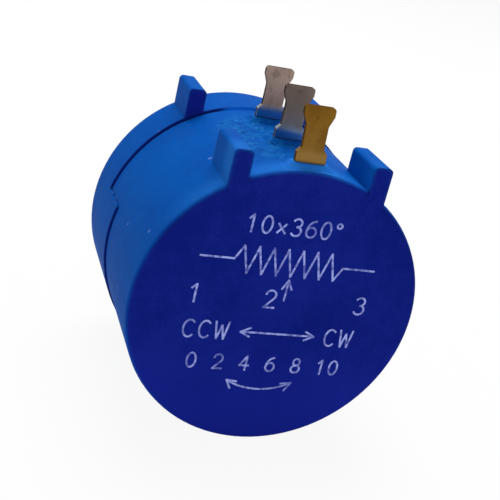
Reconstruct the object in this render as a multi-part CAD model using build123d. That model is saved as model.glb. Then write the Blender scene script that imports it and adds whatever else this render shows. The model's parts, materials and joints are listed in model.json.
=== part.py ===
from build123d import *
import os
from math import cos, degrees, pi, radians, sin, tan

# A ten-turn wirewound potentiometer for panel mounting, in millimetres.
# The shaft points along +Y and the solder terminals along +Z. The origin lies on the shaft's axis
# in the plane of the mounting face, so the body is behind it and the bushing in front.

# How far cuts run past the faces that they open
overrun = 1.0

# Room between pieces that are seated, that run on each other, and that meet endways
seat_clearance = 0.02
running_clearance = 0.04
end_clearance = 0.05

# Moulded body: the rear housing's sleeve slides into the skirt of the front cover
body_length = 19.05
housing_radius = 11.10
housing_wall_thickness = 1.40
sleeve_wall_thickness = 0.70
sleeve_clearance = 0.05
sleeve_end_clearance = 0.15
cover_step_height = 0.14
front_wall_thickness = 1.50
rear_wall_thickness = 1.05
rear_rim_radius = 0.45
front_rim_radius = 0.40
rim_steps = 3

# The housing's tongue carries the terminals, so the seam between the mouldings steps forward there
tongue_lead_length = 2.66
tongue_length = 3.88
tongue_half_angle = 75.0
tongue_side_clearance = 0.04
seam_gap = 0.24

# Four upright lugs, a pair on each moulding
lug_offset = 5.23
lug_width = 1.40
lug_rise_height = 0.95
lug_corner_radius = 0.32
rear_lug_length = 4.50
front_lug_setback = 0.52

# Solder terminals: flat stampings in a row along the body, the last one close to the rear wall
terminal_pitch = 5.08
terminal_thickness = 0.36
terminal_height = 4.10
head_width = 2.30
head_height = 0.62
head_corner_radius = 0.25
waist_width = 1.66
neck_height = 0.75
neck_radius = 0.40
ankle_height = 0.35
ankle_radius = 0.25
foot_width = 2.30
foot_height = 0.72
tail_width = 1.20
tail_clearance = 0.04
wiper_lean_angle = 3.0

# Low pads of the housing, sloped all round, that the terminals' feet stand on
pad_rise_height = 0.28
pad_width = 2.70
pad_length = 0.90
pad_slope_height = 0.45

# Threaded bushing, its grooves cut as rings: the collar fills the cover's hole, and a hexagonal flange
# keeps it from turning
bushing_radius = 4.7625
bushing_length = 7.92
bushing_wall_thickness = 1.82
bushing_chamfer = 0.50
thread_pitch = 0.79375
thread_depth = 0.45
thread_crest_width = 0.15
thread_lead_length = 0.25
collar_step_height = 0.34
flange_ledge_height = 0.40
flange_thickness = 0.80
flange_sides = 6
flange_clearance = 0.03
flange_boss_thickness = 1.05

# Shaft: a slotted nose for the knob, a bearing in the bushing and the rotor, and a rear journal
shaft_radius = 3.175
shaft_length = 20.62
shaft_chamfer = 0.50
driver_slot_width = 1.19
driver_slot_depth = 1.65
flat_depth = 0.45
journal_radius = 1.55
journal_end_clearance = 0.20
pivot_wall_thickness = 1.30

# Ring and washers that hold the shaft in place endways
washer_thickness = 0.30
washer_width = 2.26
ring_thickness = 0.40
ring_rise_height = 1.60
ring_groove_depth = 0.45
ring_mouth_width = 3.40
spring_washer_thickness = 0.15
spring_washer_width = 1.10
spring_washer_dish_height = 0.30

# Rotor: a ribbed spool whose cheeks guide the wiper carriage
rotor_clearance = 0.40
hub_wall_thickness = 1.10
rotor_end_thickness = 0.50
cheek_thickness = 1.00
rib_thickness = 1.20
rib_angles = (120.0, 240.0)

# Slip ring on the rotor's rear face, and the rail that leads the wiper's current to it
slip_ring_thickness = 0.30
slip_ring_inset_width = 0.30
slip_ring_hub_clearance = 0.20
rail_radius = 0.45
rail_recess_depth = 0.05

# Wiper carriage: rides on the rail, driven along by ridges between the turns of the element
carriage_width = 3.00
carriage_length = 1.90
carriage_floor_thickness = 0.50
carriage_corner_radius = 0.30
carriage_hub_clearance = 0.15
carriage_side_clearance = 0.05
stop_clearance = 0.10
follower_clearance = 0.30
ridge_length = 1.20
ridge_depth = 0.15
ridge_tip_width = 0.24
ridge_side_clearance = 0.04
contact_width = 0.36
contact_length = 2.40
contact_thickness = 0.12
contact_clearance = 0.03
brush_pin_radius = 0.35

# Resistance element: a wound wire laid as a helix against the bore, half a turn over at each end
turns = 10
spare_turns = 1
element_radius = 0.30
element_sides = 4
element_seat_clearance = 0.05

# Straps from the element's ends to their terminals, in a groove along the top of the bore
strap_width = 1.20
strap_thickness = 0.20
strap_clearance = 0.05
strap_tab_length = 0.70

# Spring brush from the wiper terminal to the slip ring
brush_space_length = 1.45
brush_width = 1.60
brush_thickness = 0.12
brush_clearance = 0.05
brush_foot_length = 0.90
brush_curl_length = 0.50
brush_track_inset_width = 0.60
wiper_tail_length = 1.80

# Radii of the mouldings, the bushing and the shaft, from the sizes above
cover_radius = housing_radius + cover_step_height
bore_radius = housing_radius - housing_wall_thickness
sleeve_radius = bore_radius + sleeve_wall_thickness
skirt_radius = sleeve_radius + sleeve_clearance
collar_radius = bushing_radius + collar_step_height
flange_radius = collar_radius + flange_ledge_height
bearing_radius = bushing_radius - bushing_wall_thickness - running_clearance
ring_groove_radius = bearing_radius - ring_groove_depth
hub_radius = bearing_radius + hub_wall_thickness

# Places along the axis
rear_face = -body_length
rear_wall_inside = rear_face + rear_wall_thickness
front_wall_inside = -front_wall_thickness
sleeve_front = front_wall_inside - sleeve_end_clearance
wiper_terminal = rear_wall_inside + tail_clearance + terminal_thickness / 2
middle_terminal = wiper_terminal + terminal_pitch
front_terminal = middle_terminal + terminal_pitch
terminal_places = (front_terminal, middle_terminal, wiper_terminal)
tongue_front = front_terminal + tongue_lead_length
housing_shoulder = tongue_front - tongue_length
notch_front = tongue_front + seam_gap
skirt_back = housing_shoulder + seam_gap
flange_back = front_wall_inside - flange_thickness
washer_front = flange_back - end_clearance
washer_back = washer_front - washer_thickness
ring_front = washer_back - end_clearance
ring_back = ring_front - ring_thickness
rotor_front = ring_back - end_clearance
slip_ring_back = rear_wall_inside + brush_space_length
rotor_back = slip_ring_back + slip_ring_thickness
slot_front = rotor_front - rotor_end_thickness
slot_back = rotor_back + rotor_end_thickness
dish_front = rotor_back - end_clearance
dish_back = dish_front - spring_washer_dish_height
pivot_front = dish_back - spring_washer_thickness - end_clearance

# Travel of the carriage, and the helix that drives it
travel = slot_front - slot_back - carriage_length - 2 * stop_clearance
pitch = travel / turns
mid_travel = (slot_front + slot_back) / 2
element_length = pitch * (turns + spare_turns)
element_back = mid_travel - element_length / 2
element_front = mid_travel + element_length / 2
element_outside = bore_radius - element_seat_clearance
element_path_radius = element_outside - element_radius
element_inside = element_path_radius - element_radius

# Heights above the axis, outwards from the shaft
carriage_bottom = hub_radius + carriage_hub_clearance
rail_offset = carriage_bottom + carriage_floor_thickness + rail_radius
carriage_top = element_inside - follower_clearance
rotor_radius = element_inside - rotor_clearance
slip_ring_radius = rotor_radius - slip_ring_inset_width
wall_cut_start = element_inside
strap_bottom = bore_radius + strap_clearance
strap_top = strap_bottom + strap_thickness
groove_top = strap_top + strap_clearance
pad_top = housing_radius + pad_rise_height
lug_top = housing_radius + lug_rise_height
terminal_top = pad_top + terminal_height

# At rest the carriage is at mid travel, below the shaft
rest_turn = Rot(Y=180)


def turned(*outline):
    """Turns a closed outline of (radius, place along Y) points about the shaft's axis."""
    return revolve(make_face(Polyline(*outline, close=True)), Axis.Y)


def tube(inner, outer, back, front):
    """A round tube, or a disc where the inner radius is zero, between two places along the axis."""
    return turned((inner, back), (outer, back), (outer, front), (inner, front))


def sector(inner, outer, back, front, half_angle):
    """A piece of tube that spans half_angle to each side of +Z."""
    outline = Polyline((inner, back), (outer, back), (outer, front), (inner, front), close=True)
    swept = revolve(make_face(outline), Axis.Y, revolution_arc=2 * half_angle)
    return Rot(Y=-90 - half_angle) * swept


def rim(radius, end, corner):
    """Outline points round the rim of a moulding, from its flat end to its side, in even steps."""
    turn = [pi / 2 * step / rim_steps for step in range(rim_steps + 1)]
    return [(radius - abs(corner) * (1 - sin(a)), end + corner * (1 - cos(a))) for a in turn]


def block(x, y, z):
    """A box between the (low, high) pairs along each axis."""
    size = [high - low for low, high in (x, y, z)]
    middle = [(high + low) / 2 for low, high in (x, y, z)]
    return Pos(*middle) * Box(*size)


def across(y):
    """A plane across the shaft, with X sideways and Z up in its sketches, extruding to the rear."""
    return Plane(origin=(0, y, 0), x_dir=(1, 0, 0), z_dir=(0, -1, 0))


def sideways(sketch, width):
    """Extrudes a sketch of (Y, Z) points to both sides of the middle plane."""
    return extrude(Plane.YZ * sketch, width / 2, both=True)


def rounded(face, corner, radius):
    """Rounds the corner of a flat face that lies nearest to a point."""
    return fillet(face.vertices().sort_by_distance(corner)[0], radius)


def lugs(back, front):
    """A pair of upright lugs with rounded tops, run down to the axis to merge with their moulding."""
    upright = Pos(lug_offset, lug_top / 2) * Rectangle(lug_width, lug_top)
    upright = fillet(upright.vertices().group_by(Axis.Y)[-1], lug_corner_radius)
    lug = extrude(across(front) * upright, front - back)
    return lug + mirror(lug, Plane.YZ)


def pad(place):
    """A low pad under a terminal, run down into the housing's wall, with an even slope on all four sides."""
    spread = 2 * pad_slope_height
    base = Pos(0, place, pad_top - pad_slope_height)
    slope = extrude(base * Rectangle(pad_width + spread, pad_length + spread), pad_slope_height, taper=45)
    half_width = pad_width / 2
    half_length = pad_length / 2
    return slope + block((-half_width, half_width), (place - half_length, place + half_length),
                         (bore_radius, pad_top))


def rear_housing():
    """Cup with the rear lugs, the terminals' pads and slots, the element's bore and the rear pivot."""
    cup = turned((0, rear_face), *rim(housing_radius, rear_face, rear_rim_radius),
                 (housing_radius, housing_shoulder), (sleeve_radius, housing_shoulder),
                 (sleeve_radius, sleeve_front), (0, sleeve_front))
    cup += sector(bore_radius, housing_radius, housing_shoulder, tongue_front, tongue_half_angle)
    cup += lugs(rear_face, rear_face + rear_lug_length)
    for place in terminal_places:
        cup += pad(place)
    cup -= tube(0, bore_radius, rear_wall_inside, sleeve_front + overrun)
    pivot_bore = journal_radius + running_clearance
    cup += tube(pivot_bore, pivot_bore + pivot_wall_thickness, rear_wall_inside, pivot_front)
    groove_half = strap_width / 2 + strap_clearance
    groove_back = element_back - strap_tab_length / 2 - strap_clearance
    cup -= block((-groove_half, groove_half), (groove_back, sleeve_front + overrun),
                 (wall_cut_start, groove_top))
    slot_half_width = tail_width / 2 + tail_clearance
    slot_half_length = terminal_thickness / 2 + tail_clearance
    for place in terminal_places:
        cup -= block((-slot_half_width, slot_half_width),
                     (place - slot_half_length, place + slot_half_length),
                     (wall_cut_start, pad_top + overrun))
    return cup


def front_cover():
    """Cap with the mounting face and the front lugs; its skirt is notched for the housing's tongue."""
    cap = turned((0, 0), *rim(cover_radius, 0, -front_rim_radius),
                 (cover_radius, skirt_back), (0, skirt_back))
    cap += lugs(notch_front, -front_lug_setback)
    cap -= tube(0, skirt_radius, skirt_back - overrun, front_wall_inside)
    notch_half_angle = tongue_half_angle + degrees(tongue_side_clearance / housing_radius)
    cap -= sector(bore_radius, cover_radius + lug_rise_height + overrun, skirt_back - overrun, notch_front,
                  notch_half_angle)
    pocket_radius = flange_radius + flange_clearance
    boss_radius = pocket_radius / cos(pi / flange_sides) + flange_boss_thickness
    cap += tube(collar_radius, boss_radius, flange_back, front_wall_inside)
    pocket = RegularPolygon(pocket_radius, flange_sides, major_radius=False)
    cap -= extrude(across(front_wall_inside) * pocket, flange_thickness + overrun)
    return cap - tube(0, collar_radius + seat_clearance, flange_back - overrun, overrun)


def thread_grooves():
    """Outline points of the thread's grooves, one to each pitch, from the mounting face to the nose."""
    groove_width = thread_pitch - thread_crest_width
    count = int((bushing_length - bushing_chamfer - thread_lead_length) / thread_pitch)
    starts = [thread_lead_length + turn * thread_pitch for turn in range(count)]
    root = bushing_radius - thread_depth
    return [point for start in starts for point in (
        (bushing_radius, start), (root, start + groove_width / 2), (bushing_radius, start + groove_width))]


def mounting_bushing():
    """Threaded bushing with a chamfered nose and a plain bore, on a collar and a flange inside the cover."""
    bore = bearing_radius + running_clearance
    stem = turned((bore, flange_back), (collar_radius, flange_back), (collar_radius, 0), (bushing_radius, 0),
                  *thread_grooves(), (bushing_radius, bushing_length - bushing_chamfer),
                  (bushing_radius - bushing_chamfer, bushing_length), (bore, bushing_length))
    flange = RegularPolygon(flange_radius, flange_sides, major_radius=False) - Circle(bore)
    return stem + extrude(across(front_wall_inside) * flange, flange_thickness)


def control_shaft():
    """Stepped shaft: slotted nose, shoulder, groove for the ring, flat for the rotor and rear journal."""
    shoulder = bushing_length + end_clearance
    groove_back = ring_back - seat_clearance
    groove_front = ring_front + seat_clearance
    journal_back = rear_wall_inside + journal_end_clearance
    shaft = turned((0, journal_back), (journal_radius, journal_back), (journal_radius, rotor_back),
                   (bearing_radius, rotor_back), (bearing_radius, groove_back),
                   (ring_groove_radius, groove_back), (ring_groove_radius, groove_front),
                   (bearing_radius, groove_front), (bearing_radius, shoulder), (shaft_radius, shoulder),
                   (shaft_radius, shaft_length - shaft_chamfer),
                   (shaft_radius - shaft_chamfer, shaft_length), (0, shaft_length))
    wide = (-shaft_radius - overrun, shaft_radius + overrun)
    shaft -= block(wide, (shaft_length - driver_slot_depth, shaft_length + overrun),
                   (-driver_slot_width / 2, driver_slot_width / 2))
    shaft -= block((-bearing_radius, bearing_radius), (rotor_back, rotor_front),
                   (bearing_radius - flat_depth, bearing_radius + overrun))
    return rest_turn * shaft


def retaining_ring():
    """Open ring in the shaft's groove, which keeps the shaft from being pulled out."""
    ring_radius = bearing_radius + ring_rise_height
    ring = tube(ring_groove_radius + seat_clearance, ring_radius, ring_back, ring_front)
    return ring - block((-ring_mouth_width / 2, ring_mouth_width / 2),
                        (ring_back - overrun, ring_front + overrun), (0, ring_radius + overrun))


def thrust_washer():
    """Plain washer between the bushing's flange and the retaining ring."""
    inner = bearing_radius + running_clearance
    return tube(inner, inner + washer_width, washer_back, washer_front)


def spring_washer():
    """Dished washer on the journal, which takes up the shaft's end play."""
    inner = journal_radius + running_clearance
    outer = inner + spring_washer_width
    return turned((inner, dish_back - spring_washer_thickness),
                  (outer, dish_front - spring_washer_thickness), (outer, dish_front), (inner, dish_back))


def rotor_spool():
    """Spool with two guide cheeks for the carriage and two ribs, moulded for the shaft's flat."""
    spool = turned((0, rotor_back), (rotor_radius, rotor_back), (rotor_radius, slot_back),
                   (hub_radius, slot_back), (hub_radius, slot_front), (rotor_radius, slot_front),
                   (rotor_radius, rotor_front), (0, rotor_front))
    span = (slot_back, slot_front)
    cheek_inside = carriage_width / 2 + carriage_side_clearance
    cheek = block((cheek_inside, cheek_inside + cheek_thickness), span, (0, rotor_radius))
    fins = cheek + mirror(cheek, Plane.YZ)
    rib = block((-rib_thickness / 2, rib_thickness / 2), span, (0, rotor_radius))
    for angle in rib_angles:
        fins += Rot(Y=angle) * rib
    spool += fins & tube(0, rotor_radius, slot_back, slot_front)
    ends = (rotor_back - overrun, rotor_front + overrun)
    bore = bearing_radius + seat_clearance
    spool -= tube(0, bore, *ends) & block((-bore, bore), ends, (-bore, bore - flat_depth))
    spool -= Pos(Z=rail_offset) * tube(0, rail_radius + seat_clearance, *ends)
    return rest_turn * spool


def collector_rail():
    """Round rail between the rotor's end walls, joined to the slip ring at its rear end."""
    rail = tube(0, rail_radius, slip_ring_back + rail_recess_depth, rotor_front)
    return rest_turn * Pos(Z=rail_offset) * rail


def slip_ring():
    """Flat ring on the rotor's rear face, pierced for the rail."""
    ring = tube(hub_radius + slip_ring_hub_clearance, slip_ring_radius, slip_ring_back, rotor_back)
    hole = tube(0, rail_radius + seat_clearance, slip_ring_back - overrun, rotor_back + overrun)
    return rest_turn * (ring - Pos(Z=rail_offset) * hole)


def wiper_carriage():
    """Block bored for the rail and the brush pin, with two ridges that lie between turns of the element."""
    section = Pos(0, (carriage_top + carriage_bottom) / 2) * Rectangle(carriage_width,
                                                                       carriage_top - carriage_bottom)
    section = fillet(section.vertices(), carriage_corner_radius)
    section -= Pos(0, rail_offset) * Circle(rail_radius + running_clearance)
    carriage = extrude(across(mid_travel + carriage_length / 2) * section, carriage_length)
    tip = element_inside + ridge_depth
    base_half = (pitch - contact_width) / 2 - ridge_side_clearance
    for side in (-1, 1):
        valley = mid_travel + side * pitch / 2
        ridge = make_face(Polyline(
            (valley - base_half, carriage_top), (valley + base_half, carriage_top),
            (valley + ridge_tip_width / 2, tip), (valley - ridge_tip_width / 2, tip), close=True))
        carriage += sideways(ridge, ridge_length)
    hole = Cylinder(brush_pin_radius + seat_clearance, carriage_top - rail_offset,
                    align=(Align.CENTER, Align.CENTER, Align.MIN))
    return rest_turn * (carriage - Pos(0, mid_travel, rail_offset) * hole)


def wiper_contact():
    """Bowed leaf on the carriage, whose crown wipes the inside of the element."""
    crown = element_inside - contact_clearance - contact_thickness / 2
    ends = carriage_top + contact_thickness
    bow = ThreePointArc((-contact_length / 2, ends), (0, crown), (contact_length / 2, ends))
    leaf = trace(bow, contact_thickness)
    return rest_turn * extrude(across(mid_travel + contact_width / 2) * leaf, contact_width)


def brush_pin():
    """Pin through the carriage, which stands on the rail and carries the wiper's current to it."""
    low = rail_offset + rail_radius + seat_clearance
    pin = Cylinder(brush_pin_radius, carriage_top - low, align=(Align.CENTER, Align.CENTER, Align.MIN))
    return rest_turn * Pos(0, mid_travel, low) * pin


def resistance_element():
    """Helix of wound wire that starts and ends at the top of the bore."""
    coil = Helix(pitch, element_length, element_path_radius)
    path = Pos(0, element_back, 0) * Rot(Y=-90) * Rot(X=-90) * coil
    start = Plane(origin=path @ 0, x_dir=(0, 0, 1), z_dir=path % 0)
    return sweep(start * RegularPolygon(element_radius, element_sides), path, is_frenet=True)


def element_strap(terminal_place, element_end):
    """Strap along the groove from a terminal's tail to an end of the element, with a tab on the wire."""
    toward = 1 if element_end > terminal_place else -1
    start = terminal_place - toward * terminal_thickness / 2
    tab_near = element_end - toward * strap_tab_length / 2
    tab_far = element_end + toward * strap_tab_length / 2
    tab_bottom = element_outside + seat_clearance
    outline = Polyline((start, strap_bottom), (tab_near, strap_bottom), (tab_near, tab_bottom),
                       (tab_far, tab_bottom), (tab_far, strap_top), (start, strap_top), close=True)
    return sideways(make_face(outline), strap_width)


def terminal(place, tail_end, lean=0.0):
    """Stamped solder terminal: head, waist and foot above the pad, and a tail through the housing."""
    foot_top = pad_top + foot_height
    head_bottom = terminal_top - head_height
    right = [(tail_width / 2, tail_end), (tail_width / 2, pad_top), (foot_width / 2, pad_top),
             (foot_width / 2, foot_top), (waist_width / 2, foot_top + ankle_height),
             (waist_width / 2, head_bottom - neck_height), (head_width / 2, head_bottom),
             (head_width / 2, terminal_top)]
    left = [(-x, z) for x, z in reversed(right)]
    slope = tan(radians(lean))
    leaning = [(x - slope * max(z - pad_top, 0), z) for x, z in right + left]
    face = make_face(Polyline(*leaning, close=True))
    for count, radius in ((4, ankle_radius), (5, neck_radius), (7, head_corner_radius)):
        for corner in (leaning[count], leaning[-1 - count]):
            face = rounded(face, corner, radius)
    return extrude(across(place + terminal_thickness / 2) * face, terminal_thickness)


def slip_ring_brush():
    """Leaf fixed to the wiper terminal's tail, bent forward to run on the slip ring."""
    foot = wiper_terminal + (terminal_thickness + brush_thickness) / 2
    tip = slip_ring_back - brush_clearance - brush_thickness / 2
    top = bore_radius - strap_clearance
    track = slip_ring_radius - brush_track_inset_width
    line = Polyline((foot, top), (foot, top - brush_foot_length), (tip, track),
                    (foot, track - brush_curl_length))
    return sideways(trace(line, brush_thickness), brush_width)


pieces = {
    "rear_housing": rear_housing(),
    "front_cover": front_cover(),
    "mounting_bushing": mounting_bushing(),
    "control_shaft": control_shaft(),
    "retaining_ring": retaining_ring(),
    "thrust_washer": thrust_washer(),
    "spring_washer": spring_washer(),
    "rotor_spool": rotor_spool(),
    "collector_rail": collector_rail(),
    "slip_ring": slip_ring(),
    "wiper_carriage": wiper_carriage(),
    "wiper_contact": wiper_contact(),
    "brush_pin": brush_pin(),
    "resistance_element": resistance_element(),
    "front_strap": element_strap(front_terminal, element_front),
    "rear_strap": element_strap(middle_terminal, element_back),
    "terminal_front": terminal(front_terminal, strap_top),
    "terminal_middle": terminal(middle_terminal, strap_top),
    "terminal_wiper": terminal(wiper_terminal, bore_radius - wiper_tail_length, wiper_lean_angle),
    "slip_ring_brush": slip_ring_brush(),
}

os.makedirs("parts", exist_ok=True)
for name, piece in pieces.items():
    export_step(piece, f"parts/{name}.step")
print(f"travel {travel:.4f} mm, {pitch / (2 * pi):.6f} mm for each radian of the shaft")
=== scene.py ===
import json
import math
import bmesh
import bpy
import numpy as np
from mathutils import Matrix, Vector


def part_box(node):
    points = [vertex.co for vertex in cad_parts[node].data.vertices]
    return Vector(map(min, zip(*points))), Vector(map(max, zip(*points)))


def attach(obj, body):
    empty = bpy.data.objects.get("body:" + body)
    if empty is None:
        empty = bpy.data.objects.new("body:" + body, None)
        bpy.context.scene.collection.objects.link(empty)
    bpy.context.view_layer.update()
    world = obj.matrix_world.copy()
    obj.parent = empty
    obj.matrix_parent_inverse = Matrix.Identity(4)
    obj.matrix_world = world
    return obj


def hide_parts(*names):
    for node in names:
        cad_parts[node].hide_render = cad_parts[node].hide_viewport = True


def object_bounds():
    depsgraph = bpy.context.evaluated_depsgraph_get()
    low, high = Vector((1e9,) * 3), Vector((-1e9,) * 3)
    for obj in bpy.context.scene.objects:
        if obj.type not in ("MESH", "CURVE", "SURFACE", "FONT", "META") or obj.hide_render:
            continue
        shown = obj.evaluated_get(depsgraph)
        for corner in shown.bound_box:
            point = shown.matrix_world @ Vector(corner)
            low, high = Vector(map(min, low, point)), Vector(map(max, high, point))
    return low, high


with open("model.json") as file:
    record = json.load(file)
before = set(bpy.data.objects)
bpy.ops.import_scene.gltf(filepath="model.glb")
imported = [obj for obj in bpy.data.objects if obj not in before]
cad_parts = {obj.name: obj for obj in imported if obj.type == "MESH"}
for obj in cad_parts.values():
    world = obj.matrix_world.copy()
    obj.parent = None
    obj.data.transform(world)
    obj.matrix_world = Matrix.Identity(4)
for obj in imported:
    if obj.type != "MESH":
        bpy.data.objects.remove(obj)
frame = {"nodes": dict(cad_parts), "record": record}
cad_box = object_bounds()
nodes = frame["nodes"]
MM = 0.001


def box_of(node):
    """Low and high corners of a CAD node's box, in millimetres."""
    return [np.array(corner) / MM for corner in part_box(node)]


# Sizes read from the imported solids, in millimetres
rear_face = box_of("rear_housing")[0][1]
bushing_low, bushing_high = box_of("mounting_bushing")
element_low, element_high = box_of("resistance_element")

# Bushing, in millimetres: its thread is three eighths of an inch wide, 32 to the inch
thread_radius = 4.7625
thread_pitch = 25.4 / 32
thread_depth = 0.45
thread_crest_width = 0.15
thread_lead_length = 0.25
thread_rows_per_turn = 10
bushing_columns = 96
bushing_bore = 2.9425
bushing_chamfer = 0.5
collar_radius = 5.1025
flange_front = -1.5

# Round wire of the element
wire_turns = 11
wire_radius = 0.3
wire_steps_per_turn = 60
wire_sides = 8

# Bars of the marks: their width, the depth that the wall stands back to make room for them, how far a
# stroke reaches past its end as a share of the width, and the cosine below which a corner is sharp
mark_width = 0.15
mark_depth = 0.015
mark_end_share = 0.4
sharp_corner_cosine = 0.6

# Layout of the marks, in millimetres across and up from the middle of the rear face. A row of signs has
# its text, left end, bottom and height. Angles are in degrees from +X towards +Z.
turns_row = ("10x360o", -3.9, 6.25, 1.3)
terminal_rows = [("1", -6.9, 0.45, 1.4), ("2", -1.2, 0.45, 1.4), ("3", 6.0, 0.45, 1.4)]
way_rows = [("CCW", -6.8, -2.4, 1.4), ("CW", 4.3, -2.4, 1.4)]
scale_row = ("0 2 4 6 8 10", -6.0, -4.9, 1.2)
sign_advance_share = 0.86
element_row = 4.1
element_lead_end = 6.7
element_teeth = 16
element_teeth_end = 4.2
element_tooth_height = 1.05
wiper_line = ((0.28, 1.1), (0.28, 2.75))
ways_line = ((-2.4, -1.7), (3.4, -1.7))
bow_middle = (0, -2.6)
bow_radii = (4.6, 3.9)
bow_angles = (236, 304)
bow_points = 30
bow_head_angles = (146, 34)
arrow_size = 0.8
arrow_half_angle = 27
upwards, to_left, to_right = 90, 180, 0

# Angles in degrees past which an edge stays sharp, and the distance in millimetres at which points are one
moulding_sharp_angle = 10
shaft_sharp_angle = 12
thread_sharp_angle = 25
marks_sharp_angle = 30
wire_sharp_angle = 60
same_point_distance = 0.001


# Shapes

def grid_faces(rows, columns):
    """Quads between neighbouring rows and columns of a grid whose last column joins its first."""
    r, c = np.meshgrid(np.arange(rows - 1), np.arange(columns), indexing="ij")
    start, end = r * columns, (r + 1) * columns
    d = (c + 1) % columns
    return np.stack([start + c, start + d, end + d, end + c], -1).reshape(-1, 4)


def shade(mesh, sharp_angle):
    """Smooth shading, except at edges where the faces meet at more than the given angle."""
    mesh.polygons.foreach_set("use_smooth", np.ones(len(mesh.polygons), bool))
    mesh.set_sharp_from_angle(angle=math.radians(sharp_angle))
    mesh.update()


def add_piece(name, mesh, body, finish):
    """Links a mesh as a piece that rides on a body and takes the given finish."""
    piece = bpy.data.objects.new(name, mesh)
    bpy.context.scene.collection.objects.link(piece)
    mesh.materials.clear()
    mesh.materials.append(finish)
    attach(piece, body)
    return piece


def mesh_of(name, points, faces, sharp_angle):
    """A mesh from points in millimetres and from faces that run anticlockwise as seen from outside."""
    mesh = bpy.data.meshes.new(name)
    corners = [tuple(int(corner) for corner in face) for face in faces]
    mesh.from_pydata((np.asarray(points) * MM).tolist(), [], corners)
    shade(mesh, sharp_angle)
    return mesh


def joined_copy(node, name, sharp_angle, rear_inset=0.0):
    """A CAD node's mesh with its loose triangles joined, so that round faces shade smooth.

    Points in the plane of the rear face may be moved forward by rear_inset millimetres, which leaves
    room for the marks.
    """
    mesh = nodes[node].data.copy()
    mesh.name = name
    work = bmesh.new()
    work.from_mesh(mesh)
    bmesh.ops.remove_doubles(work, verts=work.verts, dist=same_point_distance * MM)
    work.to_mesh(mesh)
    work.free()
    if "custom_normal" in mesh.attributes:
        mesh.attributes.remove(mesh.attributes["custom_normal"])
    points = np.empty(len(mesh.vertices) * 3, np.float32)
    mesh.vertices.foreach_get("co", points)
    points = points.reshape(-1, 3)
    at_rear = points[:, 1] < (rear_face + same_point_distance) * MM
    points[:, 1] += np.where(at_rear, rear_inset * MM, 0)
    mesh.vertices.foreach_set("co", points.ravel())
    shade(mesh, sharp_angle)
    return mesh


def bushing_mesh():
    """Grid of rings round the shaft: nose, bore, hexagonal flange, collar and thread, closed at the nose.

    In the thread the radius is the crest's, less the depth times how far the point lies beyond the flat
    of the crest, along the axis, as a share of the way to the root. The crest follows a right-hand helix.
    The thread fades in beside the collar, and a cone cuts the nose.
    """
    angle = np.linspace(0, 2 * np.pi, bushing_columns, endpoint=False)
    back, length = bushing_low[1], bushing_high[1]
    bore = np.full(bushing_columns, bushing_bore)
    collar = np.full(bushing_columns, collar_radius)
    sixth = np.pi / 3
    hexagon = bushing_high[2] / np.cos((angle + np.pi / 2) % sixth - sixth / 2)

    row_pitch = thread_pitch / thread_rows_per_turn
    rows = np.arange(0, length + same_point_distance, row_pitch)[:, None]
    past_lead = rows - thread_lead_length + thread_crest_width / 2
    turns = past_lead / thread_pitch - angle / (2 * np.pi)
    off_crest = np.abs(turns - np.round(turns))
    flat = thread_crest_width / thread_pitch / 2
    share = np.clip((off_crest - flat) / (0.5 - flat), 0, 1)
    run_in = np.clip(rows / thread_pitch, 0, 1)
    nose_cone = thread_radius - bushing_chamfer + length - rows
    thread = np.minimum(thread_radius - thread_depth * share * run_in, nose_cone)

    rings = [(bore, length), (bore, back), (hexagon, back), (hexagon, flange_front),
             (collar, flange_front), (collar, 0.0)]
    radius = np.vstack([ring for ring, _ in rings] + [thread, bore])
    place = np.concatenate([[y for _, y in rings], rows[:, 0], [length]])
    along = np.broadcast_to(place[:, None], radius.shape)
    points = np.stack([radius * np.sin(angle), along, radius * np.cos(angle)], -1).reshape(-1, 3)
    faces = grid_faces(len(place), bushing_columns)
    return mesh_of("bushing_thread", points, faces, thread_sharp_angle)


def element_mesh():
    """Round wire carried along a right-hand helix that starts at the top of the bore, with flat ends.

    Each ring's centre turns evenly round the axis while it moves evenly along it, and the ring stands
    upright.
    """
    steps = wire_turns * wire_steps_per_turn
    along = np.linspace(0, 1, steps + 1)[:, None]
    round_wire = np.linspace(0, 2 * np.pi, wire_sides, endpoint=False)[None]
    angle = 2 * np.pi * wire_turns * along
    low, high = element_low[1] + wire_radius, element_high[1] - wire_radius
    radius = element_high[0] - wire_radius + wire_radius * np.cos(round_wire)
    place = low + (high - low) * along - wire_radius * np.sin(round_wire)
    points = np.stack([radius * np.sin(angle), place, radius * np.cos(angle)], -1).reshape(-1, 3)
    first = range(wire_sides)[::-1]
    last = range(steps * wire_sides, (steps + 1) * wire_sides)
    faces = [*grid_faces(steps + 1, wire_sides), first, last]
    return mesh_of("element_wire", points, faces, wire_sharp_angle)


def arc(centre, radii, start, end, steps):
    """Points on an ellipse from one angle to another."""
    a = np.radians(np.linspace(start, end, steps))
    return np.stack([centre[0] + radii[0] * np.cos(a), centre[1] + radii[1] * np.sin(a)], -1)


def arrow_head(tip, angle):
    """Two short strokes that meet at a tip, for an arrow that points along an angle."""
    barbs = np.radians([angle - arrow_half_angle, angle + arrow_half_angle])
    first, last = np.array(tip) - arrow_size * np.stack([np.cos(barbs), np.sin(barbs)], -1)
    return np.array([first, tip, last])


def directions(line):
    """Unit vectors along the runs between a line's points."""
    run = np.diff(line, axis=0)
    return run / np.linalg.norm(run, axis=1)[:, None]


def smooth_runs(stroke):
    """Parts of a stroke between its sharp corners, as a tool with a round tip would draw them in turn."""
    stroke = np.asarray(stroke, float)
    run = directions(stroke)
    corners = np.flatnonzero((run[:-1] * run[1:]).sum(1) < sharp_corner_cosine) + 1
    return [stroke[a:b + 1] for a, b in zip([0, *corners], [*corners, len(stroke) - 1])]


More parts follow.
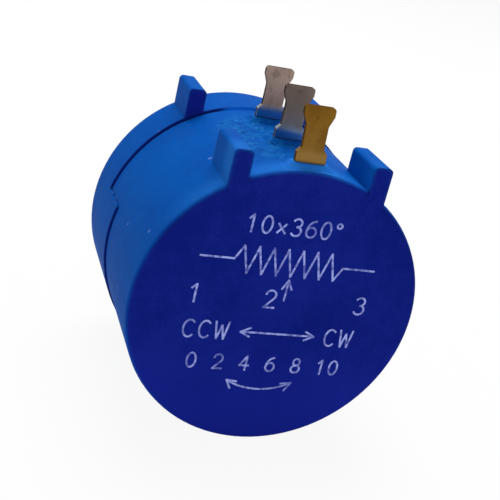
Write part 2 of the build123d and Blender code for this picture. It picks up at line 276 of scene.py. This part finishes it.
def ribbon(line):
    """Left and right edges of a run: each point moved along the mean normal of the lines beside it.

    Both ends reach past the run by a share of the width, so that runs which meet at a corner close it.
    """
    run = directions(line)
    reach = mark_end_share * mark_width
    line = np.vstack([line[:1] - reach * run[:1], line[1:-1], line[-1:] + reach * run[-1:]])
    normal = np.stack([-run[:, 1], run[:, 0]], -1)
    mean = np.vstack([normal[:1], normal[:-1] + normal[1:], normal[-1:]])
    mean /= np.linalg.norm(mean, axis=1)[:, None]
    mean /= (mean * np.vstack([normal[:1], normal])).sum(1)[:, None]
    return np.stack([line + mean * mark_width / 2, line - mean * mark_width / 2], 1)


# Strokes of the signs in a box of unit height, as shares of their height
sign_stroke_shares = {
    "0": [arc((0.3, 0.5), (0.28, 0.5), 90, 450, 32)],
    "1": [[(0.10, 0.78), (0.32, 1.0), (0.32, 0.0)]],
    "2": [np.vstack([arc((0.3, 0.72), (0.27, 0.28), 170, -32, 14), [(0.03, 0.0), (0.6, 0.0)]])],
    "3": [np.vstack([arc((0.28, 0.76), (0.25, 0.24), 150, -85, 14),
                     arc((0.28, 0.27), (0.29, 0.27), 85, -150, 16)])],
    "4": [[(0.42, 0.0), (0.42, 1.0), (0.02, 0.32), (0.6, 0.32)]],
    "6": [np.vstack([arc((0.52, 0.3), (0.5, 0.68), 95, 178, 12),
                     arc((0.3, 0.3), (0.28, 0.3), 180, 540, 24)])],
    "8": [arc((0.3, 0.76), (0.22, 0.24), -90, 270, 20), arc((0.3, 0.26), (0.28, 0.26), 90, 450, 22)],
    "x": [[(0.08, 0.1), (0.52, 0.62)], [(0.08, 0.62), (0.52, 0.1)]],
    "o": [arc((0.18, 0.84), (0.14, 0.14), 0, 360, 14)],
    "C": [arc((0.34, 0.5), (0.32, 0.5), 48, 312, 22)],
    "W": [[(0.0, 1.0), (0.17, 0.0), (0.36, 0.8), (0.55, 0.0), (0.72, 1.0)]],
    " ": [],
}


def signs(text, left, bottom, height):
    """Strokes of a row of signs: each sign's strokes times the height, moved to its place in the row."""
    places = left + sign_advance_share * height * np.arange(len(text))
    return [np.asarray(stroke) * height + (x, bottom)
            for x, sign in zip(places, text) for stroke in sign_stroke_shares[sign]]


def element_sign():
    """The sign of a resistance as one stroke: points that lie high and low in turn, between two leads."""
    across = np.linspace(-element_teeth_end, element_teeth_end, element_teeth)
    up = np.where(np.arange(element_teeth) % 2, element_tooth_height, -element_tooth_height)
    up[[0, -1]] = 0.0
    across = np.concatenate([[-element_lead_end], across, [element_lead_end]])
    return np.stack([across, element_row + np.concatenate([[0.0], up, [0.0]])], -1)


def mark_strokes():
    """Generic marks: ten turns of a circle, the element and its terminals, the turning ways, a scale."""
    bow = arc(bow_middle, bow_radii, *bow_angles, bow_points)
    return [
        *signs(*turns_row),
        element_sign(),
        np.array(wiper_line), arrow_head(wiper_line[1], upwards),
        *(stroke for row in terminal_rows + way_rows for stroke in signs(*row)),
        np.array(ways_line), arrow_head(ways_line[0], to_left), arrow_head(ways_line[1], to_right),
        *signs(*scale_row),
        bow, arrow_head(bow[0], bow_head_angles[0]), arrow_head(bow[-1], bow_head_angles[1]),
    ]


def marks_mesh():
    """Thin bars along the strokes: each point of a run has a ring of four corners, and both ends are flat.

    A bar's outer side lies within half the depth of the marks from the solid's rear face, and its foot is
    let into the wall. The outer side sinks a little along its length, and every other bar's lies deeper,
    so that no two share a plane.
    """
    points, faces, count = [], [], 0
    runs = [run for stroke in mark_strokes() for run in smooth_runs(stroke)]
    for turn, run in enumerate(runs):
        edges = ribbon(run)
        rows = len(edges)
        outer = rear_face + mark_depth / 4 * (np.linspace(0, 1, rows) + turn % 2)
        foot = np.full(rows, rear_face + 2 * mark_depth)
        left, right = edges[:, 0], edges[:, 1]
        ring = ((left, outer), (right, outer), (right, foot), (left, foot))
        corners = [np.stack([side[:, 0], depth, side[:, 1]], -1) for side, depth in ring]
        points.append(np.stack(corners, 1).reshape(-1, 3))
        first = np.arange(len(ring))[::-1]
        last = np.arange(len(ring)) + len(ring) * (rows - 1)
        faces.append(np.vstack([grid_faces(rows, len(ring)), first, last]) + count)
        count += len(ring) * rows
    return mesh_of("rear_marks", np.vstack(points), np.vstack(faces), marks_sharp_angle)


# Finishes

class Tone:
    """A socket that takes part in sums: an expression on tones adds the Math nodes that work it out."""

    def __init__(self, finish, socket):
        self.finish = finish
        self.socket = socket

    def maths(self, operation, *values):
        return self.finish.node("ShaderNodeMath", {"operation": operation}, dict(enumerate(values)))

    def __add__(self, other):
        return self.maths("ADD", self, other)

    def __radd__(self, other):
        return self.maths("ADD", other, self)

    def __sub__(self, other):
        return self.maths("SUBTRACT", self, other)

    def __rsub__(self, other):
        return self.maths("SUBTRACT", other, self)

    def __mul__(self, other):
        return self.maths("MULTIPLY", self, other)

    def __rmul__(self, other):
        return self.maths("MULTIPLY", other, self)

    def __pow__(self, other):
        return self.maths("POWER", self, other)

    def __gt__(self, other):
        return self.maths("GREATER_THAN", self, other)

    def __lt__(self, other):
        return self.maths("LESS_THAN", self, other)

    def between(self, none, full):
        """Runs smoothly from 0 where the tone is none to 1 where it is full, whichever is the larger."""
        return self.finish.node("ShaderNodeMapRange", {"interpolation_type": "SMOOTHSTEP"},
                                {"Value": self, "From Min": none, "From Max": full})


class Finish:
    """A material, or the world, made of nodes and read in object coordinates, in metres."""

    def __init__(self, name, world=None):
        self.material = world or bpy.data.materials.new(name)
        self.material.use_nodes = True
        self.tree = self.material.node_tree
        self.tree.nodes.clear()

    def node(self, kind, settings, sockets, out=0):
        """Adds a node: its settings first, then a value or a link for each named or numbered socket."""
        made = self.tree.nodes.new(kind)
        for key, value in settings.items():
            setattr(made, key, value)
        for key, value in sockets.items():
            if isinstance(value, Tone):
                self.tree.links.new(value.socket, made.inputs[key])
            else:
                made.inputs[key].default_value = value
        return Tone(self, made.outputs[out]) if len(made.outputs) else made

    def place(self, scale=(1.0, 1.0, 1.0)):
        """Object coordinates, stretched along each axis."""
        where = self.node("ShaderNodeTexCoord", {}, {}, "Object")
        return self.node("ShaderNodeMapping", {}, {"Vector": where, "Scale": scale})

    def noise(self, cells, detail, stretch=(1.0, 1.0, 1.0)):
        """Noise from 0 to 1, with so many cells to the metre."""
        return self.node("ShaderNodeTexNoise", {},
                         {"Vector": self.place(stretch), "Scale": cells, "Detail": detail})

    def axes(self, vector):
        """The three numbers of a vector."""
        split = self.node("ShaderNodeSeparateXYZ", {}, {"Vector": vector}).socket.node
        return [Tone(self, socket) for socket in split.outputs]

    def facing(self):
        """The three numbers of the way that the surface faces."""
        return self.axes(self.node("ShaderNodeNewGeometry", {}, {}, "Normal"))

    def rounded(self, radius, samples):
        """The way that the surface faces, as if its edges were rounded."""
        return self.node("ShaderNodeBevel", {"samples": samples}, {"Radius": radius})

    def seen(self):
        """1 where the camera, a reflection or a clear piece sees the surface, else 0."""
        path = self.node("ShaderNodeLightPath", {}, {}).socket.node.outputs
        camera, gloss, clear = (Tone(self, path["Is %s Ray" % kind])
                                for kind in ("Camera", "Glossy", "Transmission"))
        return camera + gloss + clear

    def mix(self, share, first, second):
        """A colour between two colours, which a Mix node takes at sockets 6 and 7 and gives at output 2."""
        return self.node("ShaderNodeMix", {"data_type": "RGBA"},
                         {0: share, 6: colour(first), 7: colour(second)}, 2)

    def raised(self, height, depth, strength, edge=0.0):
        """A normal from a height, with depth in metres, over edges rounded by the radius edge."""
        sockets = {"Height": height, "Distance": depth, "Strength": strength}
        if edge:
            sockets["Normal"] = self.rounded(edge, edge_samples)
        return self.node("ShaderNodeBump", {}, sockets)

    def shader(self, **sockets):
        """The Principled shader with these sockets, joined to the output."""
        named = {key.replace("_", " "): value for key, value in sockets.items()}
        body = self.node("ShaderNodeBsdfPrincipled", {}, named)
        self.node("ShaderNodeOutputMaterial", {}, {"Surface": body})
        return self.material


def colour(tone):
    """A colour for a socket: a tone as it is, or three linear shares of light made opaque."""
    return tone if isinstance(tone, Tone) else (*tone, 1.0)


in_millimetres = (1 / MM,) * 3
edge_samples = 6

# Tones of the blue plastic, as linear shares of red, green and blue light
side_tones = ((0.001, 0.074, 0.378), (0.001, 0.096, 0.452))
# Painted shade: the deeper, more violet blue that takes the place of the side's tone on faces turned to the
# rear
rear_shade_tones = ((0.0038, 0.0115, 0.200), (0.0074, 0.0178, 0.256))
# Painted light: the paler tone towards the bottom of the rear
rear_bottom_light_tone = (0.009, 0.020, 0.320)
# Painted sheen: the pale band along the rear rim
rim_sheen_tone = (0.013, 0.160, 0.58)
# Painted light: the pale tone on the rear of the pad
pad_light_tone = (0.022, 0.205, 0.74)
film_tone = (0.010, 0.160, 0.47)
crumb_tone = (0.07, 0.26, 0.62)
pit_tone = (0.002, 0.040, 0.230)
speck_tone = (0.22, 0.34, 0.66)
# Painted shade: the dark tone in the seam's gap and on its step
seam_shade_tone = (0.001, 0.004, 0.030)
# Painted light: the bright tone that fills the seam at the top
seam_light_tone = (0.006, 0.20, 0.85)

# Where the rear's painted shade goes over into the side's tone: the radius of the blend in metres, and how
# far a face turns back, as the Y of its normal, from where the painted shade starts to where it is full
rear_blend_radius = 0.8 * MM
rear_blend_samples = 8
rear_turn = (-0.22, -0.90)
step_turn = (-0.55, -0.95)
rear_bottom_heights = (-1.0, -11.0)

# The pads under the terminals, the painted sheen on the rear rim and painted light on the pad, the smears,
# the seam's painted shade and the painted light at its top, in millimetres. Pairs say where a range starts
# and where it is full.
pad_height = 10.9
pad_half_width = 2.45
pad_rear = -18.75
rim_sheen_along = (-16.2, -18.2)
rim_sheen_heights = (5.0, 10.6)
rim_sheen_fade_right = (1.5, 4.5)
pad_light_along = (-17.0, -17.8)
pad_light_squares_across = (4.6, 2.2)
smear_middle = (-2.1, -11.5)
smear_half_size = (3.015, 5.976)
smear_reach = (1.05, 0.60)
smear_height = 9.6
seam_gap_radii = (11.08, 10.98)
seam_step_radius = 11.25
seam_rear_edge = (-9.0, -8.9)
seam_front_edge = (-4.6, -4.7)
seam_shade_across = (2.2, 3.4)
seam_light_rear = -5.1

# Pale specks on the side, as places and radii in millimetres, and how ragged their edges are
speck_places = [((-7.7, -4.5, 8.0), 0.16), ((-10.6, -12.5, 3.1), 0.14), ((-10.1, -17.0, 4.6), 0.15),
                ((-11.0, -14.9, -0.9), 0.12), ((-5.9, -13.7, 9.4), 0.17), ((-10.72, -5.6, 2.85), 0.13),
                ((-10.72, -6.9, 2.95), 0.14), ((-10.72, -7.7, 2.80), 0.12)]
speck_core_share = 0.6
speck_ragged = 0.12


def blue_plastic():
    """Moulded blue plastic: cloudy tone, fine grain, a few pale specks, smears left of the terminals.

    Faces turned to the rear take a deeper, more violet blue than the sides as painted shade, and painted
    light makes it a little paler towards the bottom. A painted sheen lightens the side along the rear rim,
    and painted light lightens the rear pad. Painted shade darkens the seam, except at the top, where
    painted light fills it.
    """
    f = Finish("blue_plastic")
    place = f.place(in_millimetres)
    x, y, z = f.axes(place)
    out = (x * x + z * z) ** 0.5
    cloud = f.noise(cells=170.0, detail=3.0)
    blotch = f.noise(cells=900.0, detail=3.0)
    grain = f.noise(cells=7000.0, detail=2.0)

    # Plain tone of the sides, and painted shade on faces turned to the rear, made paler towards the bottom
    # by painted light
    on_pad = (z > pad_height) * (x * x < pad_half_width ** 2) * (y > pad_rear)
    # Painted shade: faces turned to the rear, off the pads, take the rear's deeper blue
    soft_facing = f.axes(f.rounded(rear_blend_radius, rear_blend_samples))
    to_rear = soft_facing[1].between(*rear_turn) * (1 - on_pad)
    mottle = (0.45 * cloud + 0.25 * blotch + 0.30 * grain).between(0.38, 0.62)
    # Painted light: the rear's tone grows paler towards the bottom
    rear = f.mix(z.between(*rear_bottom_heights), f.mix(mottle, *rear_shade_tones), rear_bottom_light_tone)
    base = f.mix(to_rear, f.mix(mottle, *side_tones), rear)

    # Painted sheen along the rear rim, and painted light on the rear pad
    rim_sheen = y.between(*rim_sheen_along) * z.between(*rim_sheen_heights) * (1 - to_rear)
    rim_sheen = rim_sheen * (1 - 0.7 * x.between(*rim_sheen_fade_right))
    base = f.mix(rim_sheen * (0.55 + 0.35 * blotch), base, rim_sheen_tone)
    # Painted light: a paler tone on the rear of the pad
    pad_light = on_pad * y.between(*pad_light_along) * (x * x).between(*pad_light_squares_across)
    base = f.mix(pad_light * 0.75, base, pad_light_tone)

    # Smears beside the terminals: a film, with crumbs and pits in it
    across = (x - smear_middle[0]) * (1 / smear_half_size[0])
    along = (y - smear_middle[1]) * (1 / smear_half_size[1])
    reach = (across * across + along * along) ** 0.5
    smear = reach.between(*smear_reach) * (z > smear_height)
    film = f.noise(cells=1500.0, detail=4.0).between(0.35, 0.65) * smear
    crumbs = f.noise(cells=2300.0, detail=2.0).between(0.64, 0.74) * smear
    pits = f.noise(cells=2000.0, detail=2.0, stretch=(1.0, 0.8, 1.0)).between(0.58, 0.68) * smear
    base = f.mix(film * 0.65, base, film_tone)
    base = f.mix(crumbs * 0.6, base, crumb_tone)
    base = f.mix(pits * 0.7, base, pit_tone)

    # Specks
    specks = 0.0
    for where, radius in speck_places:
        away = f.node("ShaderNodeVectorMath", {"operation": "DISTANCE"}, {0: place, 1: where}, "Value")
        ragged = away + speck_ragged * blotch
        specks = ragged.between(radius + speck_ragged, radius * speck_core_share) + specks
    base = f.mix(specks * 0.6, base, speck_tone)

    # Seam: its gap and the step beside it, darkened by painted shade round the body and filled with painted
    # light at the top
    gap = out.between(*seam_gap_radii)
    step = f.facing()[1].between(*step_turn) * (out < seam_step_radius)
    in_seam = y.between(*seam_rear_edge) * y.between(*seam_front_edge)
    seam_shaded = ((x * x) ** 0.5).between(*seam_shade_across) * (z > 0.0) + (z < 0.0)
    # Painted shade: the seam's gap and step darkened round the body
    base = f.mix((gap + 0.3 * step) * in_seam * seam_shaded * (0.5 + 0.9 * blotch), base, seam_shade_tone)
    # Painted light: the seam's gap and step filled with a bright tone at the top
    base = f.mix((gap + step) * in_seam * (1 - seam_shaded) * (y > seam_light_rear), base, seam_light_tone)

    height = grain * 0.5 + blotch * 0.18 + film * 0.8 + crumbs * 1.2 - pits * 1.0 + specks * 1.5
    return f.shader(Base_Color=base, Roughness=0.52 + 0.12 * cloud + 0.10 * film,
                    Specular_IOR_Level=0.012,
                    Normal=f.raised(height, depth=0.04 * MM, strength=0.35, edge=0.18 * MM))


def etched_line(dark, pale):
    """Pale, dry line scratched through the plastic's skin, fainter in places."""
    f = Finish("etched_line")
    broken = f.noise(cells=2300.0, detail=3.0).between(0.30, 0.62)
    fade = f.noise(cells=420.0, detail=1.0).between(0.30, 0.60)
    return f.shader(Base_Color=f.mix(broken * (0.45 + 0.55 * fade), dark, pale),
                    Roughness=0.8 - 0.1 * fade, Specular_IOR_Level=0.1,
                    Normal=f.raised(broken, depth=0.02 * MM, strength=0.4))


def turned_metal(name, base, tint, line_pitch):
    """Plated metal off a lathe: fine rings along the axis, and a few duller patches."""
    f = Finish(name)
    along = f.axes(f.place())[1]
    rings = along.maths("SINE", along * (2 * math.pi / line_pitch))
    dull = f.noise(cells=260.0, detail=3.0).between(0.42, 0.68)
    hairs = f.noise(cells=500.0, detail=2.0, stretch=(1.0, 30.0, 1.0))
    return f.shader(Base_Color=f.mix(dull * 0.6, base, tint), Metallic=1.0,
                    Roughness=0.26 + 0.16 * dull + 0.08 * hairs,
                    Normal=f.raised(rings * 0.5 + hairs * 0.5, depth=0.006 * MM, strength=0.35,
                                    edge=0.06 * MM))


def stamped_metal(name, base, tint, stain):
    """Stamped strip metal: long hairlines, cloudy plating, dark stains and rounded edges."""
    f = Finish(name)
    cloud = f.noise(cells=420.0, detail=3.0).between(0.35, 0.68)
    hairs = f.noise(cells=700.0, detail=3.0, stretch=(1.0, 9.0, 9.0))
    spot = f.noise(cells=1300.0, detail=2.0).between(0.62, 0.74)
    tone = f.mix(spot * 0.6, f.mix(cloud, base, tint), stain)
    return f.shader(Base_Color=tone, Metallic=1.0,
                    Roughness=0.34 + 0.18 * cloud + 0.12 * hairs + 0.1 * spot,
                    Normal=f.raised(hairs * 0.5 + spot * 0.5, depth=0.02 * MM, strength=0.3,
                                    edge=0.07 * MM))


# Places on the terminals, in millimetres, and how far a face turns to the side or up to be a cut edge
front_terminal_ends = (-8.0, -12.0)
terminal_shade_heights = (12.3, 14.8)
terminal_foot_heights = (11.8, 12.6)
terminal_top = 14.6
cut_side_squares = (0.66, 0.90)
cut_up = (0.5, 0.9)
terminal_rough = 0.40


def terminal_metal(name, front, top, low, foot, stain, cut_and_shade, gloss, metal):
    """Plated terminal: its tones differ by place as painted shade and reflection, the front one warmer and
    the others going from a low tone to a darker top one.

    Upright hairlines and stains break the tone up. Stamped edges, at the sides and on top, are darker
    than the plating, partly as bare sheared metal and partly as painted shade that keeps them from catching
    light. The foot is glossier, so that it mirrors the body, and takes a tone of its own; on the tinned
    terminals that tone is a painted reflection of the blue body.
    """
    f = Finish(name)
    _, y, z = f.axes(f.place(in_millimetres))
    side, _, up = f.facing()
    edge = (side * side).between(*cut_side_squares) + up.between(*cut_up) * (z > terminal_top)
    cloud = f.noise(cells=520.0, detail=3.0).between(0.36, 0.66)
    hairs = f.noise(cells=700.0, detail=3.0, stretch=(9.0, 9.0, 1.0))
    streak = f.noise(cells=900.0, detail=2.0, stretch=(1.0, 1.0, 0.3)).between(0.46, 0.64)
    spot = f.noise(cells=1500.0, detail=2.0).between(0.62, 0.72)
    above_foot = z.between(*terminal_foot_heights)
    # Painted shade and reflection: each terminal's tone is set by where it stands, and darkens towards the
    # top
    shaded = f.mix(z.between(*terminal_shade_heights), low, top)
    tone = f.mix(y.between(*front_terminal_ends), front, shaded)
    tone = f.mix(cloud * 0.35 + streak * 0.25, tone, stain)
    tone = f.mix(spot * 0.35, tone, [0.4 * share for share in stain])
    # The foot's tone: on the tinned terminals, a painted reflection of the blue body
    tone = f.mix(above_foot, foot, tone)
    # Stamped edges: partly bare sheared metal, partly painted shade that keeps them from catching light
    tone = f.mix(edge * 0.9, tone, cut_and_shade)
    rough = gloss + (terminal_rough - gloss + 0.16 * cloud) * above_foot + 0.10 * hairs + 0.35 * edge
    return f.shader(Base_Color=tone, Metallic=metal, Roughness=rough, Specular_IOR_Level=0.05,
                    Normal=f.raised(hairs * 0.5 + spot * 0.5, depth=0.02 * MM, strength=0.3,
                                    edge=0.07 * MM))


def wound_wire(dark, pale, ridges):
    """Element wound close with fine resistance wire: so many small ridges to a radian of the helix."""
    f = Finish("resistance_wire")
    x, _, z = f.axes(f.place())
    angle = x.maths("ARCTAN2", x, z)
    ridge = angle.maths("SINE", angle * ridges)
    cloud = f.noise(cells=700.0, detail=2.0).between(0.35, 0.7)
    return f.shader(Base_Color=f.mix(cloud, dark, pale), Metallic=1.0, Roughness=0.38 + 0.15 * cloud,
                    Normal=f.raised(ridge, depth=0.03 * MM, strength=0.6))


def black_plastic(dark, pale):
    """Moulded black plastic with a fine grain and slightly uneven gloss."""
    f = Finish("black_plastic")
    cloud = f.noise(cells=300.0, detail=3.0)
    grain = f.noise(cells=6000.0, detail=2.0)
    return f.shader(Base_Color=f.mix(cloud.between(0.3, 0.7), dark, pale),
                    Roughness=0.42 + 0.2 * cloud, Specular_IOR_Level=0.3,
                    Normal=f.raised(grain, depth=0.03 * MM, strength=0.3, edge=0.1 * MM))


finishes = {
    "blue_plastic": blue_plastic(),
    "black_plastic": black_plastic(dark=(0.016, 0.016, 0.018), pale=(0.030, 0.030, 0.033)),
    "plated_brass": turned_metal("plated_brass", base=(0.46, 0.44, 0.40), tint=(0.33, 0.31, 0.275),
                                 line_pitch=0.16 * MM),
    "spring_steel": stamped_metal("spring_steel", base=(0.46, 0.46, 0.46), tint=(0.36, 0.36, 0.37),
                                  stain=(0.20, 0.19, 0.18)),
    "contact_metal": stamped_metal("contact_metal", base=(0.70, 0.52, 0.26), tint=(0.58, 0.42, 0.20),
                                   stain=(0.30, 0.20, 0.10)),
    "resistance_wire": wound_wire(dark=(0.36, 0.31, 0.26), pale=(0.50, 0.45, 0.39), ridges=420.0),
    "tinned_metal": terminal_metal(
        # The feet's bluish tone is a painted reflection of the blue body; the front, top and low tones are
        # painted reflection and shade
        "tinned_metal", front=(0.40, 0.292, 0.225), top=(0.152, 0.130, 0.108), low=(0.20, 0.21, 0.225),
        foot=(0.27, 0.37, 0.44), stain=(0.16, 0.110, 0.088), cut_and_shade=(0.045, 0.032, 0.026),
        gloss=0.10, metal=1.0),
    "gold_plating": terminal_metal(
        "gold_plating", front=(0.215, 0.108, 0.013), top=(0.215, 0.108, 0.013), low=(0.215, 0.115, 0.020),
        foot=(0.285, 0.161, 0.040), stain=(0.135, 0.057, 0.006), cut_and_shade=(0.100, 0.047, 0.007),
        gloss=0.30, metal=0.5),
}
mark_finish = etched_line(dark=(0.09, 0.11, 0.44), pale=(0.40, 0.47, 0.98))

# Each CAD node takes the finish of its slot
for part in frame["record"]["subparts"]:
    own = nodes[part["node"]].data
    own.materials.clear()
    own.materials.append(finishes[part["material_slot"]])

# Pieces that stand for CAD nodes, and the marks
housing_mesh = joined_copy("rear_housing", "housing_shell", moulding_sharp_angle, mark_depth)
cover_mesh = joined_copy("front_cover", "cover_shell", moulding_sharp_angle)
shaft_mesh = joined_copy("control_shaft", "shaft_turned", shaft_sharp_angle)
blue, brass, wound = (finishes[slot] for slot in ("blue_plastic", "plated_brass", "resistance_wire"))
housing = add_piece("housing_shell", housing_mesh, "body", blue)
cover = add_piece("cover_shell", cover_mesh, "body", blue)
thread = add_piece("bushing_thread", bushing_mesh(), "body", brass)
shaft = add_piece("shaft_turned", shaft_mesh, "rotor", brass)
wire = add_piece("element_wire", element_mesh(), "body", wound)
add_piece("rear_marks", marks_mesh(), "body", mark_finish)
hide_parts("rear_housing")
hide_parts("front_cover")
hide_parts("mounting_bushing")
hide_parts("control_shaft")
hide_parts("resistance_element")


# Floor, light and camera: lengths of the stage in metres, places on the object in millimetres

floor_half_size = 4.0
floor_tone = (0.85, 0.85, 0.85)
floor_white_share = 0.92
white = (1.0, 1.0, 1.0)
ambient_strength = 0.24
body_middle = (0.0, -9.5, 0.0)
camera_place = (-25.644, -77.668, 30.157)
camera_right = (0.93881, -0.26303, 0.22236)
camera_view = (0.33129, 0.8662, -0.37409)
camera_sensor_width = 36.0
camera_lens_length = 69.40
camera_range = (0.001, 20.0)


def floor_finish():
    """White floor that takes the object's soft shadow, and looks plain white to camera and reflections."""
    f = Finish("floor_white")
    matt = f.node("ShaderNodeBsdfDiffuse", {}, {"Color": colour(floor_tone)})
    bright = f.node("ShaderNodeEmission", {}, {"Color": colour(white), "Strength": 1.0})
    both = f.node("ShaderNodeMixShader", {}, {0: f.seen() * floor_white_share, 1: matt, 2: bright})
    f.node("ShaderNodeOutputMaterial", {}, {"Surface": both})
    return f.material


def add_floor():
    """Square floor at the height of the object's lowest point."""
    half, low = floor_half_size, cad_box[0].z
    corners = [(-half, -half, low), (half, -half, low), (half, half, low), (-half, half, low)]
    mesh = bpy.data.meshes.new("floor")
    mesh.from_pydata(corners, [], [(0, 1, 2, 3)])
    mesh.materials.append(floor_finish())
    floor = bpy.data.objects.new("floor", mesh)
    bpy.context.scene.collection.objects.link(floor)


def light_world():
    """Even pale surroundings, white where the camera or a reflection sees them."""
    world = bpy.data.worlds.new("surroundings")
    bpy.context.scene.world = world
    f = Finish("surroundings", world)
    strength = ambient_strength + (1 - ambient_strength) * f.seen()
    sky = f.node("ShaderNodeBackground", {}, {"Color": colour(white), "Strength": strength})
    f.node("ShaderNodeOutputWorld", {}, {"Surface": sky})


def add_softbox(name, way, distance, size, power):
    """Square lamp that stands a distance from the body's middle in a direction, and faces it."""
    lamp = bpy.data.lights.new(name, "AREA")
    lamp.size = size
    lamp.energy = power
    box = bpy.data.objects.new(name, lamp)
    way = Vector(way).normalized()
    turn = way.to_track_quat("Z", "Y").to_matrix().to_4x4()
    box.matrix_world = Matrix.Translation(Vector(body_middle) * MM + way * distance) @ turn
    bpy.context.scene.collection.objects.link(box)


def add_camera():
    """Camera where the photograph was taken, from a fit to points of the rims, lugs and terminals."""
    view = Vector(camera_view).normalized()
    up = Vector(camera_right).normalized().cross(view).normalized()
    right = view.cross(up).normalized()
    lens = bpy.data.cameras.new("camera")
    lens.sensor_width = camera_sensor_width
    lens.lens = camera_lens_length
    lens.clip_start, lens.clip_end = camera_range
    camera = bpy.data.objects.new("camera", lens)
    axes = Matrix((right, up, -view)).transposed().to_4x4()
    camera.matrix_world = Matrix.Translation(Vector(camera_place) * MM) @ axes
    bpy.context.scene.collection.objects.link(camera)
    bpy.context.scene.camera = camera


add_floor()
light_world()
add_softbox("key", way=(0.05, 0.42, 0.95), distance=0.35, size=0.28, power=1.35)
add_softbox("fill", way=(-0.25, -0.93, 0.10), distance=0.42, size=0.34, power=0.80)
add_camera()
bpy.context.scene.view_settings.view_transform = "Standard"
